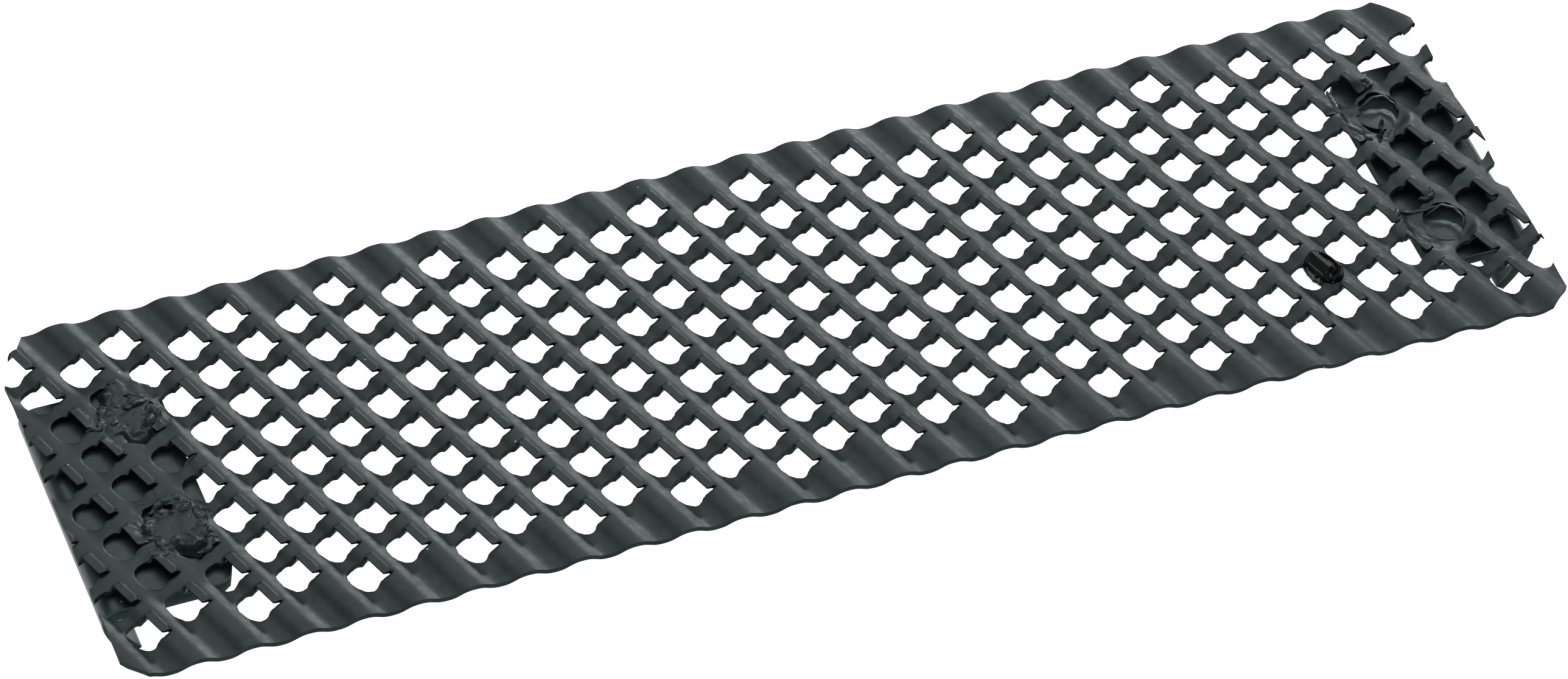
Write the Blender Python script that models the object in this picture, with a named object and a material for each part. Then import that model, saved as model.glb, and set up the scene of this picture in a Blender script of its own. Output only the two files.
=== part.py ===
"""Perforated rasp-plane blade: corrugated toothed sheet, two end plates, welds and a paint run."""
import math

import bmesh
import bpy
import numpy as np
from mathutils import Vector

# Driving dimensions, in metres
BLADE_LENGTH = 0.140
BLADE_WIDTH = 0.040
SHEET_THICKNESS = 0.00055
SHEET_MID_Z = 0.0076
SHEET_BOW = 0.00035

WAVE_PITCH = 0.004729
WAVE_HEIGHT = 0.00029
RIDGE_ANGLE = math.radians(21.05)
TOOTH_PITCH = 0.004283
COLUMN_SHIFT = -0.000322
HOLE_ORIGIN = (-0.00059, -0.00377)
CREST_OFFSET = 0.00185
FIRST_ROW = -10
LAST_ROW = 6
TOOTH_RISE = 0.00060

PLATE_THICKNESS = 0.0010
PLATE_WIDTH = 0.0246
PLATE_CORNER = 0.0020
LEFT_PLATE_X = (-0.0693, -0.0576)
LEFT_PLATE_Y = -0.0001
LEFT_PLATE_TOP = SHEET_MID_Z - 0.00122
RIGHT_PLATE_X = (0.0592, 0.0699)
RIGHT_PLATE_Y = 0.0008
RIGHT_PLATE_TOP = SHEET_MID_Z - 0.00145
HOOK_BEND = 0.0013
HOOK_LEAN_START = math.radians(12.0)
HOOK_LEAN_END = math.radians(50.0)

BLOB_RADIUS = 0.0031
BLOB_CENTRES = ((-0.0604, 0.0082), (-0.0608, -0.0050))
BLOB_TOP = SHEET_MID_Z + 0.0011
SPOT_RADIUS = 0.0018
SPOT_CENTRES = ((0.0622, 0.0074), (0.0622, -0.0071))
SPOT_HEIGHT = 0.00045
PIECE_GAP = 0.00032

RUN_CENTRE = (0.0486, -0.0096)
RUN_SIZE = (0.0016, 0.0023, 0.00055)

ACROSS = (math.cos(RIDGE_ANGLE), math.sin(RIDGE_ANGLE))
ALONG = (math.sin(RIDGE_ANGLE), -math.cos(RIDGE_ANGLE))


def clear_scene():
    for thing in list(bpy.data.objects):
        bpy.data.objects.remove(thing, do_unlink=True)


def paint(name, colour, metallic, roughness):
    material = bpy.data.materials.new(name)
    material.use_nodes = True
    shader = material.node_tree.nodes["Principled BSDF"]
    shader.inputs["Base Color"].default_value = (*colour, 1.0)
    shader.inputs["Metallic"].default_value = metallic
    shader.inputs["Roughness"].default_value = roughness
    return material


def add_object(name, mesh_data, material, smooth=False):
    mesh = bpy.data.meshes.new(name)
    mesh_data.to_mesh(mesh)
    mesh_data.free()
    mesh.materials.append(material)
    for polygon in mesh.polygons:
        polygon.use_smooth = smooth
    node = bpy.data.objects.new(name, mesh)
    bpy.context.scene.collection.objects.link(node)
    return node


def prism(outline, low, high):
    """Closed prism over an anticlockwise outline."""
    solid = bmesh.new()
    bottom = [solid.verts.new((x, y, low)) for x, y in outline]
    top = [solid.verts.new((x, y, high)) for x, y in outline]
    solid.faces.new(list(reversed(bottom)))
    solid.faces.new(top)
    count = len(outline)
    for i in range(count):
        j = (i + 1) % count
        solid.faces.new((bottom[i], bottom[j], top[j], top[i]))
    return solid


def circle(centre, radius, sides):
    return [(centre[0] + radius * math.cos(2.0 * math.pi * i / sides),
             centre[1] + radius * math.sin(2.0 * math.pi * i / sides)) for i in range(sides)]


def cut(target, solid, operation):
    """Apply one exact Boolean with a temporary cutter."""
    cutter = add_object("cutter", solid, target.data.materials[0])
    cutter.hide_render = True
    cutter.display_type = "WIRE"
    step = target.modifiers.new("cut", "BOOLEAN")
    step.operation = operation
    step.solver = "EXACT"
    step.object = cutter
    graph = bpy.context.evaluated_depsgraph_get()
    result = bpy.data.meshes.new_from_object(target.evaluated_get(graph))
    target.modifiers.remove(step)
    old = target.data
    target.data = result
    bpy.data.meshes.remove(old)
    bpy.data.objects.remove(cutter, do_unlink=True)


def keep_largest(node):
    """Drop loose offcuts so that the node stays one closed body."""
    solid = bmesh.new()
    solid.from_mesh(node.data)
    bmesh.ops.remove_doubles(solid, verts=solid.verts, dist=0.000001)
    unseen = set(solid.verts)
    groups = []
    while unseen:
        stack = [unseen.pop()]
        group = set(stack)
        while stack:
            vert = stack.pop()
            for edge in vert.link_edges:
                other = edge.other_vert(vert)
                if other in unseen:
                    unseen.remove(other)
                    group.add(other)
                    stack.append(other)
        groups.append(group)
    groups.sort(key=len)
    loose = [vert for group in groups[:-1] for vert in group]
    bmesh.ops.delete(solid, geom=loose, context="VERTS")
    bmesh.ops.triangulate(solid, faces=solid.faces)
    solid.to_mesh(node.data)
    solid.free()


def sheet_point(s, t):
    """Plan position of a point given across and along the ridges from the lattice origin."""
    x = HOLE_ORIGIN[0] + s * ACROSS[0] + t * ALONG[0]
    y = HOLE_ORIGIN[1] + s * ACROSS[1] + t * ALONG[1]
    return x, y


def wave_height(s):
    """Straight-flanked zigzag, crest at CREST_OFFSET, valley half a pitch away."""
    phase = ((s - CREST_OFFSET) / WAVE_PITCH) % 1.0
    return WAVE_HEIGHT * (4.0 * abs(phase - 0.5) - 1.0)


def hole_outline():
    """Hole corners in one cell: round end on the falling flank, square end at the tooth."""
    valley = CREST_OFFSET - WAVE_PITCH / 2.0
    return [(valley, -0.00138, 0.0), (-0.00158, -0.00085, 0.0), (-0.00142, 0.00080, 0.0),
            (valley, 0.00152, 0.0), (0.00152, 0.00112, TOOTH_RISE), (0.00152, -0.00135, TOOTH_RISE)]


def cell_faces(lattice, column, step, holed):
    """Upper-skin faces of one cell, as lists of (s, t, rise) corners."""
    s0 = column * WAVE_PITCH
    t0 = column * COLUMN_SHIFT + step * TOOTH_PITCH
    half = TOOTH_PITCH / 2.0
    skew = COLUMN_SHIFT / 2.0
    left = s0 + CREST_OFFSET - WAVE_PITCH
    mid = s0 + CREST_OFFSET - WAVE_PITCH / 2.0
    right = s0 + CREST_OFFSET
    tl = lattice(left, t0 - half - skew, 0.0)
    vt = lattice(mid, t0 - half, 0.0)
    tr = lattice(right, t0 - half + skew, 0.0)
    bl = lattice(left, t0 + half - skew, 0.0)
    vb = lattice(mid, t0 + half, 0.0)
    br = lattice(right, t0 + half + skew, 0.0)
    if not holed:
        return [[tl, bl, vb, vt], [vt, vb, br, tr]], []
    rim = [lattice(s0 + s, t0 + t, rise) for s, t, rise in hole_outline()]
    a, b, c, d, e, f = rim
    faces = [[tl, b, a, vt], [tl, bl, c, b], [bl, vb, d, c],
             [vt, a, f], [vt, f, tr], [tr, f, e, br], [e, vb, br], [d, vb, e]]
    return faces, rim


def blade_sheet(material):
    """Corrugated sheet with a hole and a raised tooth in every cell of seventeen rows."""
    solid = bmesh.new()
    store = {}

    def lattice(s, t, rise):
        key = (round(s * 1.0e7), round(t * 1.0e7))
        if key not in store:
            x, y = sheet_point(s, t)
            bow = SHEET_BOW * (x / (BLADE_LENGTH / 2.0)) ** 2
            z = SHEET_MID_Z + SHEET_THICKNESS / 2.0 + wave_height(s) - bow + rise
            top = solid.verts.new((x, y, z))
            store[key] = (top, solid.verts.new((x, y, z - SHEET_THICKNESS)))
        return store[key]

    reach_x = BLADE_LENGTH / 2.0 + 0.006
    reach_y = BLADE_WIDTH / 2.0 + 0.006
    for column in range(-20, 21):
        for step in range(-20, 21):
            cx, cy = sheet_point(column * WAVE_PITCH, column * COLUMN_SHIFT + step * TOOTH_PITCH)
            if abs(cx) > reach_x or abs(cy) > reach_y:
                continue
            row = 2 * step - column
            holed = FIRST_ROW <= row <= LAST_ROW
            faces, _ = cell_faces(lattice, column, step, holed)
            for corners in faces:
                solid.faces.new([pair[0] for pair in corners])
                solid.faces.new([pair[1] for pair in reversed(corners)])
    upper = {pair[0]: pair[1] for pair in store.values()}
    for edge in [e for e in solid.edges if e.is_boundary and e.verts[0] in upper]:
        first, second = edge.verts
        if edge.link_loops[0].vert is first:
            first, second = second, first
        solid.faces.new((first, second, upper[second], upper[first]))
    bmesh.ops.recalc_face_normals(solid, faces=solid.faces)
    node = add_object("blade_sheet", solid, material)
    cut(node, prism(sheet_outline(), SHEET_MID_Z - 0.004, SHEET_MID_Z + 0.004), "INTERSECT")
    for centre in BLOB_CENTRES:
        cutter = prism(circle(centre, BLOB_RADIUS + PIECE_GAP, 12), SHEET_MID_Z - 0.004, SHEET_MID_Z + 0.004)
        cut(node, cutter, "DIFFERENCE")
    for centre in SPOT_CENTRES:
        cutter = prism(circle(centre, SPOT_RADIUS + PIECE_GAP, 12), SHEET_MID_Z - 0.004, SHEET_MID_Z + 0.004)
        cut(node, cutter, "DIFFERENCE")
    keep_largest(node)
    return node


def sheet_outline():
    """Anticlockwise outline of the strip with its clipped corners."""
    x = BLADE_LENGTH / 2.0
    y = BLADE_WIDTH / 2.0
    return [(-x, -y + 0.0021), (-x + 0.0005, -y + 0.0014), (-x + 0.0020, -y), (x - 0.0026, -y),
            (x - 0.0003, -y + 0.0020), (x, y - 0.0030), (x - 0.0029, y), (-x + 0.0031, y),
            (-x + 0.0022, y - 0.0016), (-x + 0.0004, y - 0.0027), (-x, y - 0.0034)]


def hook_profile(outer, inner, top):
    """Centre line in x and z from the straight part of the plate, round the bend, to the hook tip."""
    side = 1.0 if outer > inner else -1.0
    z = top - PLATE_THICKNESS / 2.0
    bend_x = outer - side * (PLATE_THICKNESS / 2.0 + HOOK_BEND)
    turn = math.pi / 2.0 + HOOK_LEAN_START
    points = [(bend_x, z)]
    for i in range(1, 9):
        angle = turn * i / 8.0
        points.append((bend_x + side * HOOK_BEND * math.sin(angle), z - HOOK_BEND * (1.0 - math.cos(angle))))
    start_x, start_z = points[-1]
    last_lean = HOOK_LEAN_END - (HOOK_LEAN_END - HOOK_LEAN_START) / 12.0
    drop = start_z - PLATE_THICKNESS / 2.0 * math.sin(last_lean)
    radius = drop / (math.sin(HOOK_LEAN_END) - math.sin(HOOK_LEAN_START))
    for i in range(1, 7):
        lean = HOOK_LEAN_START + (HOOK_LEAN_END - HOOK_LEAN_START) * i / 6.0
        points.append((start_x - side * radius * (math.cos(HOOK_LEAN_START) - math.cos(lean)),
                       start_z - radius * (math.sin(lean) - math.sin(HOOK_LEAN_START))))
    return points


def hook_plate(name, outer, inner, y_mid, top, material):
    """Plate welded under one end; its outer edge is rolled down and back into a J-shaped hook."""
    side = 1.0 if outer > inner else -1.0
    line = hook_profile(outer, inner, top)
    half_t = PLATE_THICKNESS / 2.0
    half = PLATE_WIDTH / 2.0
    solid = bmesh.new()
    rails = []
    for sign in (1.0, -1.0):
        rail = []
        for i, (x, z) in enumerate(line):
            before = line[max(i - 1, 0)]
            after = line[min(i + 1, len(line) - 1)]
            run = Vector((after[0] - before[0], after[1] - before[1])).normalized()
            if i == 0:
                run = Vector((side, 0.0))
            px = x - sign * side * run.y * half_t
            pz = z + sign * side * run.x * half_t
            rail.append((solid.verts.new((px, y_mid - half, pz)), solid.verts.new((px, y_mid + half, pz))))
        rails.append(rail)
    for i in range(len(line) - 1):
        (ua, ub), (uc, ud) = rails[0][i], rails[0][i + 1]
        (la, lb), (lc, ld) = rails[1][i], rails[1][i + 1]
        solid.faces.new((ua, uc, ud, ub))
        solid.faces.new((la, lb, ld, lc))
        solid.faces.new((ua, la, lc, uc))
        solid.faces.new((ub, ud, ld, lb))
    (ua, ub), (la, lb) = rails[0][-1], rails[1][-1]
    solid.faces.new((ua, la, lb, ub))
    arc = []
    for i in range(5):
        angle = math.pi / 2.0 * i / 4.0
        arc.append((inner + side * PLATE_CORNER * (1.0 - math.cos(angle)),
                    half - PLATE_CORNER * (1.0 - math.sin(angle))))
    edge = [(x, y_mid - y) for x, y in reversed(arc)] + [(x, y_mid + y) for x, y in arc]
    high = [solid.verts.new((x, y, top)) for x, y in edge]
    low = [solid.verts.new((x, y, top - PLATE_THICKNESS)) for x, y in edge]
    (ua, ub), (la, lb) = rails[0][0], rails[1][0]
    ring_high = [ua] + high + [ub]
    ring_low = [la] + low + [lb]
    solid.faces.new(ring_high)
    solid.faces.new(list(reversed(ring_low)))
    for i in range(len(ring_high) - 1):
        solid.faces.new((ring_high[i], ring_low[i], ring_low[i + 1], ring_high[i + 1]))
    bmesh.ops.recalc_face_normals(solid, faces=solid.faces)
    return add_object(name, solid, material)


def weld_blob(name, centre, seed, material):
    """Lumpy plug weld filling a burnt opening in the sheet."""
    rng = np.random.default_rng(seed)
    low = LEFT_PLATE_TOP + PIECE_GAP
    levels = ((0.80, 0.0), (1.0, 0.35), (0.94, 0.70), (0.55, 0.93))
    sides = 12
    solid = bmesh.new()
    rings = []
    for share, lift in levels:
        ring = []
        for i in range(sides):
            radius = BLOB_RADIUS * share * (1.0 - 0.08 * rng.random() * (lift > 0.0))
            angle = 2.0 * math.pi * i / sides
            z = low + (BLOB_TOP - low) * lift
            ring.append(solid.verts.new((centre[0] + radius * math.cos(angle),
                                         centre[1] + radius * math.sin(angle), z)))
        rings.append(ring)
    for lower, upper in zip(rings, rings[1:]):
        for i in range(sides):
            j = (i + 1) % sides
            solid.faces.new((lower[i], lower[j], upper[j], upper[i]))
    solid.faces.new(list(reversed(rings[0])))
    cap = solid.verts.new((centre[0], centre[1], BLOB_TOP))
    for i in range(sides):
        solid.faces.new((rings[-1][i], rings[-1][(i + 1) % sides], cap))
    return add_object(name, solid, material, smooth=True)


def spot_weld(name, centre, material):
    """Flat spot-weld button at the bottom of its crater."""
    low = RIGHT_PLATE_TOP + PIECE_GAP
    solid = prism(circle(centre, SPOT_RADIUS, 24), low, low + SPOT_HEIGHT)
    return add_object(name, solid, material)


def paint_run(material):
    """Hardened drop of black enamel sitting over one tooth, long axis along the ridge."""
    solid = bmesh.new()
    bmesh.ops.create_uvsphere(solid, u_segments=14, v_segments=8, radius=1.0)
    base = SHEET_MID_Z + SHEET_THICKNESS / 2.0 + WAVE_HEIGHT + TOOTH_RISE + PIECE_GAP
    for vert in solid.verts:
        s = vert.co.x * RUN_SIZE[0]
        t = vert.co.y * RUN_SIZE[1]
        z = base + max(vert.co.z, -0.25) * RUN_SIZE[2] + 0.25 * RUN_SIZE[2]
        vert.co = (RUN_CENTRE[0] + s * ACROSS[0] + t * ALONG[0],
                   RUN_CENTRE[1] + s * ACROSS[1] + t * ALONG[1], z)
    bmesh.ops.remove_doubles(solid, verts=solid.verts, dist=0.000001)
    bmesh.ops.recalc_face_normals(solid, faces=solid.faces)
    return add_object("paint_run", solid, material, smooth=True)


def build():
    clear_scene()
    blade_sheet(paint("slate_enamel_sheet", (0.115, 0.135, 0.135), 0.25, 0.45))
    hook_plate("left_hook_plate", LEFT_PLATE_X[0], LEFT_PLATE_X[1], LEFT_PLATE_Y, LEFT_PLATE_TOP,
               paint("slate_enamel_left_hook", (0.085, 0.095, 0.095), 0.25, 0.50))
    hook_plate("right_hook_plate", RIGHT_PLATE_X[1], RIGHT_PLATE_X[0], RIGHT_PLATE_Y, RIGHT_PLATE_TOP,
               paint("slate_enamel_right_hook", (0.085, 0.095, 0.095), 0.25, 0.50))
    weld_blob("left_weld_upper", BLOB_CENTRES[0], 3, paint("weld_bead_upper", (0.17, 0.18, 0.175), 0.5, 0.4))
    weld_blob("left_weld_lower", BLOB_CENTRES[1], 8, paint("weld_bead_lower", (0.15, 0.16, 0.155), 0.5, 0.4))
    spot_weld("right_weld_upper", SPOT_CENTRES[0], paint("spot_weld_upper", (0.16, 0.18, 0.18), 0.5, 0.35))
    spot_weld("right_weld_lower", SPOT_CENTRES[1], paint("spot_weld_lower", (0.16, 0.18, 0.18), 0.5, 0.35))
    paint_run(paint("black_gloss_enamel", (0.02, 0.022, 0.022), 0.0, 0.12))


build()
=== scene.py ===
import math

import bmesh
import bpy
import numpy as np
from mathutils import Matrix, Vector, noise


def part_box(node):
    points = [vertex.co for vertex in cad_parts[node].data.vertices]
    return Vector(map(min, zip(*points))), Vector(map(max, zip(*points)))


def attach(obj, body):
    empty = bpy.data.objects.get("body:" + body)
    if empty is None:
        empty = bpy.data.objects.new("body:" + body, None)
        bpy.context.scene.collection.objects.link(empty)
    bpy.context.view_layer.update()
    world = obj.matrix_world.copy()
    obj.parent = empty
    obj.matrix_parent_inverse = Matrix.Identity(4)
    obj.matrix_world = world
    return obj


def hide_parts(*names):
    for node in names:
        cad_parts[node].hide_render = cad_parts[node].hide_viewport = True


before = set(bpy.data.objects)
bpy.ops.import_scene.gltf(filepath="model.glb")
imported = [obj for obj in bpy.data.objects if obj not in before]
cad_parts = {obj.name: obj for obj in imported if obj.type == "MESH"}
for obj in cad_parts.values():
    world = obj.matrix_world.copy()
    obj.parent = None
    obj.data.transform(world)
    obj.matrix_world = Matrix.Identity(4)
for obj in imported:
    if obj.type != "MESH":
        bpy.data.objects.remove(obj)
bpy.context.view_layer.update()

# ---------------------------------------------------------------------------
# Blade sheet: thin steel strip pressed into slanted waves and punched from
# below, so every opening has a tongue of metal raised over it as a cutting
# tooth. Blanked to length after punching, then dipped in slate-grey enamel.
# ---------------------------------------------------------------------------
MM = 0.001
sheet_low, sheet_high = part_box("blade_sheet")

THICKNESS = 0.55
WAVE = 0.29
BOW = 0.35
MID_Z = sheet_low.z / MM + THICKNESS / 2.0 + WAVE + BOW
HALF_LENGTH = (sheet_high.x - sheet_low.x) / 2.0 / MM
HALF_WIDTH = (sheet_high.y - sheet_low.y) / 2.0 / MM

RIDGE_ANGLE = math.radians(21.05)
ACROSS = np.array((math.cos(RIDGE_ANGLE), math.sin(RIDGE_ANGLE)))
ALONG = np.array((math.sin(RIDGE_ANGLE), -math.cos(RIDGE_ANGLE)))
LATTICE_ORIGIN = np.array((-0.59, -3.77))
COLUMN_STEP = np.array((4.729, -0.322))
TOOTH_STEP = np.array((0.0, 4.283))
CREST = 1.85
FIRST_ROW = -10
LAST_ROW = 6

TONGUE_EDGE = 0.95
TONGUE_ROOT = 2.05
TONGUE_TOP = -1.34
TONGUE_END = 1.12
TONGUE_HEIGHT = 0.97
TONGUE_EDGE_THICKNESS = 0.20


def ease(x):
    x = np.clip(x, 0.0, 1.0)
    return x * x * (3.0 - 2.0 * x)


def wave(s):
    """Height of the corrugation at a distance s across the ridges, with broad crests and valleys."""
    phase = 2.0 * math.pi * (s - CREST) / COLUMN_STEP[0] + 0.24
    return WAVE * (np.cos(phase) - 0.065 * np.cos(3.0 * phase)) / 0.935


def spaced(points, count):
    """A polyline through the points, divided into count equal steps."""
    points = np.array(points, float)
    lengths = np.concatenate(([0.0], np.cumsum(np.linalg.norm(np.diff(points, axis=0), axis=1))))
    marks = np.linspace(0.0, lengths[-1], count + 1)
    return np.stack([np.interp(marks, lengths, points[:, k]) for k in (0, 1)], 1)


SIDE = 14
END = 20
TONGUE_WIDE = 8
RINGS = 7


def cell_border():
    """The outline of one cell, clockwise from its upper right corner, in SIDE + END steps twice."""
    centre = np.array((0.205, 0.0))
    right = centre + COLUMN_STEP / 2.0
    left = centre - COLUMN_STEP / 2.0
    down = TOOTH_STEP / 2.0
    corners = (right - down, right + down, left + down, left - down, right - down)
    runs = [spaced(corners[i:i + 2], SIDE if i % 2 == 0 else END)[:-1] for i in range(4)]
    return np.concatenate(runs)


def opening_border():
    """The punched opening, from the root of the tongue round to its shoulder."""
    root = spaced([(TONGUE_ROOT, TONGUE_TOP), (TONGUE_ROOT, TONGUE_END)], SIDE)[:-1]
    lower = spaced([(TONGUE_ROOT, TONGUE_END), (1.75, 1.20), (0.95, 1.23), (0.62, 1.19),
                    (0.36, 1.24), (0.0, 1.42), (-0.36, 1.49), (-0.70, 1.38), (-1.00, 1.15)], END)[:-1]
    left = spaced([(-1.00, 1.15), (-1.34, 0.60), (-1.50, 0.05), (-1.54, -0.45),
                   (-1.46, -0.95), (-1.26, -1.32)], SIDE)[:-1]
    upper = spaced([(-1.26, -1.32), (-0.98, -1.58), (-0.50, -1.71), (0.05, -1.72), (0.34, -1.64),
                    (0.48, -1.38), (TONGUE_EDGE, TONGUE_TOP)], END - TONGUE_WIDE)[:-1]
    shoulder = spaced([(TONGUE_EDGE, TONGUE_TOP), (TONGUE_ROOT, TONGUE_TOP)], TONGUE_WIDE)[:-1]
    return np.concatenate((root, lower, left, upper, shoulder))


def toothed_cell():
    """Plan of one cell with its opening: points, quads, tongue weights and rim weights."""
    inner = opening_border()
    outer = cell_border()
    count = len(inner)
    rings = [inner + (outer - inner) * (k / RINGS) ** 1.4 for k in range(RINGS + 1)]
    for _ in range(12):
        for k in range(1, RINGS):
            sides = (np.roll(rings[k], 1, 0) + np.roll(rings[k], -1, 0)) / 2.0
            rings[k] = 0.4 * rings[k] + 0.3 * sides + 0.15 * (rings[k - 1] + rings[k + 1])
    points = [np.concatenate(rings)]
    index = np.arange(count * (RINGS + 1)).reshape(RINGS + 1, count)
    faces = []
    for k in range(RINGS):
        a, b = index[k], index[k + 1]
        faces.append(np.stack((a, np.roll(a, -1), np.roll(b, -1), b), 1))
    rows = np.linspace(TONGUE_TOP, TONGUE_END, SIDE + 1)
    columns = np.linspace(TONGUE_ROOT, TONGUE_EDGE, TONGUE_WIDE + 1)
    grid_t, grid_s = np.meshgrid(rows, columns)
    corner = np.clip((1.35 - grid_s) / 0.40, 0.0, 1.0) * np.clip((grid_t - 0.40) / 0.72, 0.0, 1.0)
    grid_t = grid_t - 0.13 * corner ** 2
    start = count * (RINGS + 1)
    points.append(np.stack((grid_s.ravel(), grid_t.ravel()), 1))
    patch = start + np.arange(grid_s.size).reshape(grid_s.shape)
    a, b = patch[:-1, :-1], patch[:-1, 1:]
    c, d = patch[1:, 1:], patch[1:, :-1]
    faces.append(np.stack((a.ravel(), d.ravel(), c.ravel(), b.ravel()), 1))
    points = np.concatenate(points)
    tongue = np.zeros(len(points))
    tongue[start:] = 1.0
    rim = np.zeros(len(points))
    free = np.ones(count)
    free[:SIDE] = 0.0
    free[-TONGUE_WIDE:] = 0.0
    for k, share in enumerate((1.0, 0.45, 0.12)):
        rim[index[k]] = share * free
    return points, np.concatenate(faces), tongue, rim


def plain_cell():
    """Plan of one cell of the unpunched margin, with the same border points."""
    border = cell_border()
    right = np.concatenate((border[:SIDE], border[SIDE:SIDE + 1]))
    left = border[SIDE + END:2 * SIDE + END + 1][::-1]
    share = np.linspace(0.0, 1.0, END + 1)[:, None, None]
    points = (right[None] * (1.0 - share) + left[None] * share).reshape(-1, 2)
    index = np.arange(len(points)).reshape(END + 1, SIDE + 1)
    a, b = index[:-1, :-1], index[:-1, 1:]
    c, d = index[1:, 1:], index[1:, :-1]
    faces = np.stack((a.ravel(), d.ravel(), c.ravel(), b.ravel()), 1)
    return points, faces, np.zeros(len(points)), np.zeros(len(points))


def sheet_plan():
    """All cells of the strip laid side by side and joined, still larger than the blank."""
    rng = np.random.default_rng(11)
    toothed = toothed_cell()
    plain = plain_cell()
    points, faces, tongue, rim, vary = [], [], [], [], []
    total = 0
    for column in range(-20, 21):
        for step in range(-16, 17):
            shift = column * COLUMN_STEP + step * TOOTH_STEP
            centre = LATTICE_ORIGIN + shift[0] * ACROSS + shift[1] * ALONG
            if abs(centre[0]) > HALF_LENGTH + 4.5 or abs(centre[1]) > HALF_WIDTH + 4.5:
                continue
            row = 2 * step - column
            cell = toothed if FIRST_ROW <= row <= LAST_ROW else plain
            points.append(cell[0] + shift)
            faces.append(cell[1] + total)
            tongue.append(cell[2])
            rim.append(cell[3])
            vary.append(np.full(len(cell[0]), rng.random()))
            total += len(cell[0])
    points = np.concatenate(points)
    faces = np.concatenate(faces)
    tongue = np.concatenate(tongue)
    rim = np.concatenate(rim)
    vary = np.concatenate(vary)
    keys = np.round(points * 2000.0).astype(np.int64)
    _, first, joined = np.unique(keys, axis=0, return_index=True, return_inverse=True)
    joined = joined.ravel()
    strongest = np.zeros(len(first))
    np.maximum.at(strongest, joined, tongue)
    return points[first], joined[faces], strongest, rim[first], vary[first]


def blank_lines():
    """Edges of the cropped strip, anticlockwise; the material is on the left of each."""
    x, y = HALF_LENGTH, HALF_WIDTH
    corners = [(-x, -y + 2.1), (-x + 0.5, -y + 1.4), (-x + 2.0, -y), (x - 2.6, -y),
               (x - 0.3, -y + 2.0), (x, y - 3.0), (x - 2.9, y), (-x + 3.1, y),
               (-x + 0.4, y - 2.7), (-x, y - 3.4)]
    return list(zip(corners, corners[1:] + corners[:1]))


SPOTS = [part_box(name) for name in ("right_weld_upper", "right_weld_lower")]
SPOT_CENTRES = [((a.x + b.x) / 2.0 / MM, (a.y + b.y) / 2.0 / MM) for a, b in SPOTS]
BLOBS = [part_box(name) for name in ("left_weld_upper", "left_weld_lower")]
BLOB_CENTRES = [((a.x + b.x) / 2.0 / MM, (a.y + b.y) / 2.0 / MM) for a, b in BLOBS]
SPOT_RADIUS = 1.95
PRESSED = -0.07
BLOB_RADIUS = 2.2
BROKEN_TOOTH = (69.3, 15.3)


def ragged_radius(angle, radius, seed, rough):
    """Radius of a torn circular edge at an angle."""
    place = Vector((math.cos(angle) * 1.7, math.sin(angle) * 1.7, seed))
    return radius * (1.0 + rough * noise.fractal(place, 1.0, 2.2, 3))


def crop_to_blank(solid):
    """Shear the joined cells to the outline of the strip."""
    for first, second in blank_lines():
        run = Vector((second[0] - first[0], second[1] - first[1], 0.0)).normalized()
        outward = Vector((run.y, -run.x, 0.0))
        geom = solid.verts[:] + solid.edges[:] + solid.faces[:]
        bmesh.ops.bisect_plane(solid, geom=geom, dist=1.0e-5, plane_co=(first[0], first[1], 0.0),
                               plane_no=outward, clear_outer=True)
    # A notch broken out of the left end, cut along two lines that meet in its middle.
    middle = np.array((-HALF_LENGTH + 2.2, HALF_WIDTH - 1.6))
    for end in ((-HALF_LENGTH + 3.1, HALF_WIDTH), (-HALF_LENGTH + 0.4, HALF_WIDTH - 2.7)):
        near = [f for f in solid.faces if f.calc_center_median().x < -HALF_LENGTH + 5.0
                and f.calc_center_median().y > HALF_WIDTH - 5.0]
        run = Vector((middle[0] - end[0], middle[1] - end[1], 0.0)).normalized()
        geom = list({v for f in near for v in f.verts})
        geom += list({e for f in near for e in f.edges}) + near
        bmesh.ops.bisect_plane(solid, geom=geom, dist=1.0e-5, plane_co=(end[0], end[1], 0.0),
                               plane_no=(run.y, -run.x, 0.0))
    notch = []
    for face in solid.faces:
        centre = face.calc_center_median()
        x, y = centre.x + HALF_LENGTH, HALF_WIDTH - centre.y
        below_first = (x - 3.1) * 1.6 + y * 0.9 < 0.0
        below_second = (x - 0.4) * 1.1 + (y - 2.7) * 1.8 < 0.0
        if x < 3.2 and y < 2.8 and below_first and below_second:
            notch.append(face)
    bmesh.ops.delete(solid, geom=notch, context="FACES")


def break_tooth(solid, place, layer):
    """Take away the tongue nearest to a place, sheared off with the end of the strip."""
    gone = []
    for face in solid.faces:
        middle = face.calc_center_median()
        near = math.hypot(middle.x - place[0], middle.y - place[1]) < 2.2
        if near and all(v[layer] > 0.5 for v in face.verts):
            gone.append(face)
    bmesh.ops.delete(solid, geom=gone, context="FACES")


def open_circle(solid, centre, radius, seed, rough):
    """Burn a ragged round opening through the sheet at a weld."""
    gone = []
    for face in solid.faces:
        middle = face.calc_center_median()
        dx, dy = middle.x - centre[0], middle.y - centre[1]
        if dx * dx + dy * dy < (radius * 1.3) ** 2:
            if math.hypot(dx, dy) < ragged_radius(math.atan2(dy, dx), radius, seed, rough):
                gone.append(face)
    bmesh.ops.delete(solid, geom=gone, context="FACES")
    for vert in solid.verts:
        dx, dy = vert.co.x - centre[0], vert.co.y - centre[1]
        reach = math.hypot(dx, dy)
        if reach < radius * 1.3 and any(e.is_boundary for e in vert.link_edges):
            wanted = ragged_radius(math.atan2(dy, dx), radius, seed, rough)
            if abs(reach - wanted) < 0.22:
                vert.co.x = centre[0] + dx / reach * wanted
                vert.co.y = centre[1] + dy / reach * wanted


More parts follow.
